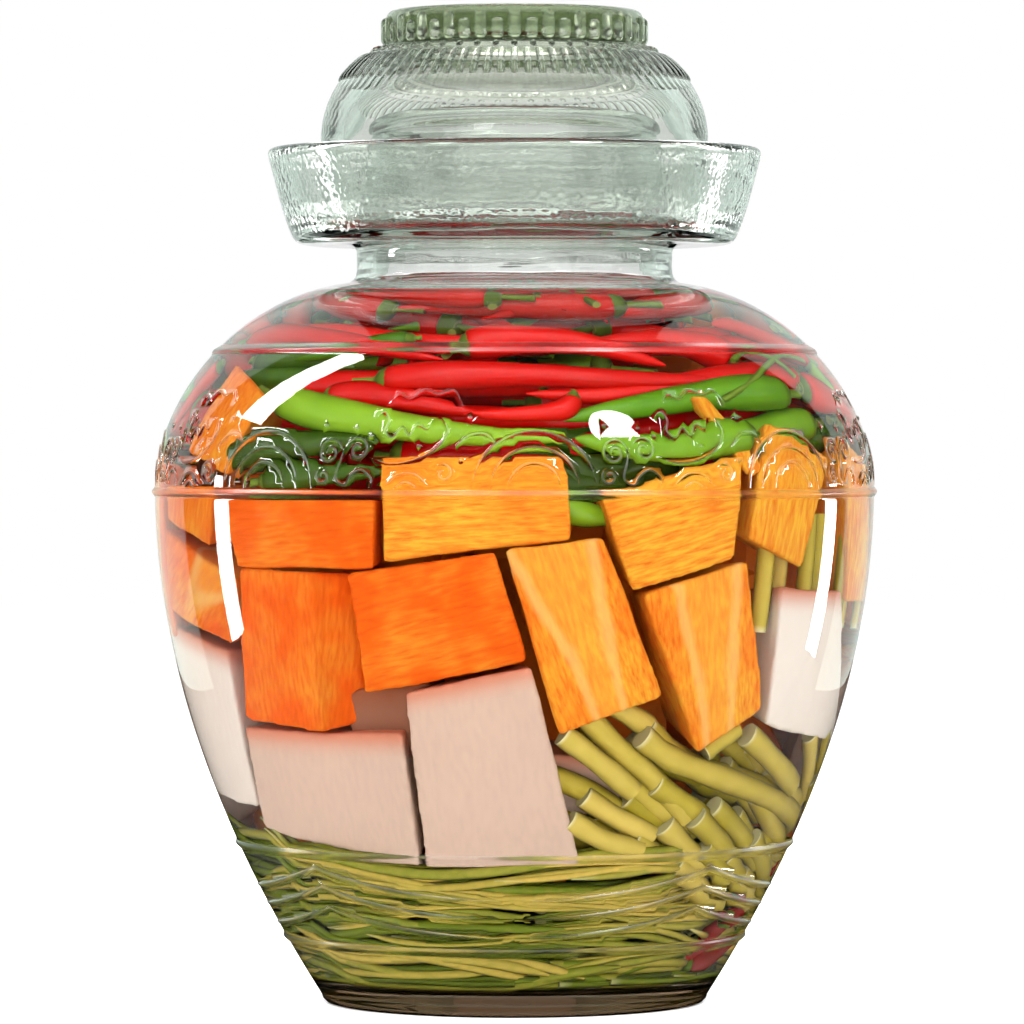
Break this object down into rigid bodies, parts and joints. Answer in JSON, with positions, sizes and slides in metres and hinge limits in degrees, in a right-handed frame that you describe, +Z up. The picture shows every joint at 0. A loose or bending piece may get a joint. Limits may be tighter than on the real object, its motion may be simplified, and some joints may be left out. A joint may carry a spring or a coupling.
{
  "type": "fermentation crock",
  "caption": "Round-bellied glass pickling crock with a water-moat neck, a lift-off domed glass lid and packed vegetables inside.",
  "frame": {"origin": "middle of the foot, on the surface that the crock stands on", "axes": "+Z up along the axis that the glass is turned about, -Y towards the viewer of the picture"},
  "size_m": [0.2138, 0.2138, 0.292],
  "materials": {
    "jar_glass": "clear pressed glass with a faint green tint",
    "lid_glass": "clear pressed glass, greener where it is thick",
    "carrot_flesh": "wet cut carrot",
    "daikon_flesh": "wet cut daikon",
    "bean_skin": "pickled bean skin",
    "green_chilli_skin": "glossy chilli skin",
    "red_chilli_skin": "glossy chilli skin"
  },
  "bodies": {
    "crock": {"jar_bowl": "jar_glass", "jar_shoulder": "jar_glass", "jar_neck": "jar_glass", "moat_floor": "jar_glass", "moat_wall": "jar_glass", "bean_nest": "bean_skin", "bean_coil_1": "bean_skin", "bean_coil_2": "bean_skin", "carrot_core": "carrot_flesh", "carrot_1": "carrot_flesh", "carrot_2": "carrot_flesh", "carrot_3": "carrot_flesh", "carrot_4": "carrot_flesh", "carrot_5": "carrot_flesh", "carrot_6": "carrot_flesh", "carrot_7": "carrot_flesh", "carrot_8": "carrot_flesh", "carrot_9": "carrot_flesh", "carrot_10": "carrot_flesh", "carrot_11": "carrot_flesh", "carrot_12": "carrot_flesh", "carrot_13": "carrot_flesh", "carrot_14": "carrot_flesh", "carrot_15": "carrot_flesh", "carrot_16": "carrot_flesh", "carrot_17": "carrot_flesh", "daikon_1": "daikon_flesh", "daikon_2": "daikon_flesh", "daikon_3": "daikon_flesh", "daikon_4": "daikon_flesh", "daikon_5": "daikon_flesh", "daikon_6": "daikon_flesh", "daikon_7": "daikon_flesh", "daikon_8": "daikon_flesh", "cut_bean_1": "bean_skin", "cut_bean_2": "bean_skin", "cut_bean_3": "bean_skin", "cut_bean_4": "bean_skin", "cut_bean_5": "bean_skin", "cut_bean_6": "bean_skin", "cut_bean_7": "bean_skin", "green_chilli_1": "green_chilli_skin", "green_chilli_2": "green_chilli_skin", "green_chilli_3": "green_chilli_skin", "green_chilli_4": "green_chilli_skin", "green_chilli_5": "green_chilli_skin", "green_chilli_6": "green_chilli_skin", "red_chilli_1": "red_chilli_skin", "red_chilli_2": "red_chilli_skin", "red_chilli_3": "red_chilli_skin", "red_chilli_4": "red_chilli_skin", "red_chilli_5": "red_chilli_skin", "red_chilli_6": "red_chilli_skin", "red_chilli_7": "red_chilli_skin", "red_chilli_8": "red_chilli_skin", "red_chilli_9": "red_chilli_skin", "red_chilli_10": "red_chilli_skin"},
    "lid": {"lid_skirt": "lid_glass", "lid_dome": "lid_glass", "lid_ring": "lid_glass"}
  },
  "joints": [
    {"name": "lid_lift", "type": "slide", "parent": "crock", "child": "lid", "axis": [0, 0, 1], "range_m": [0, 0.12]}
  ]
}
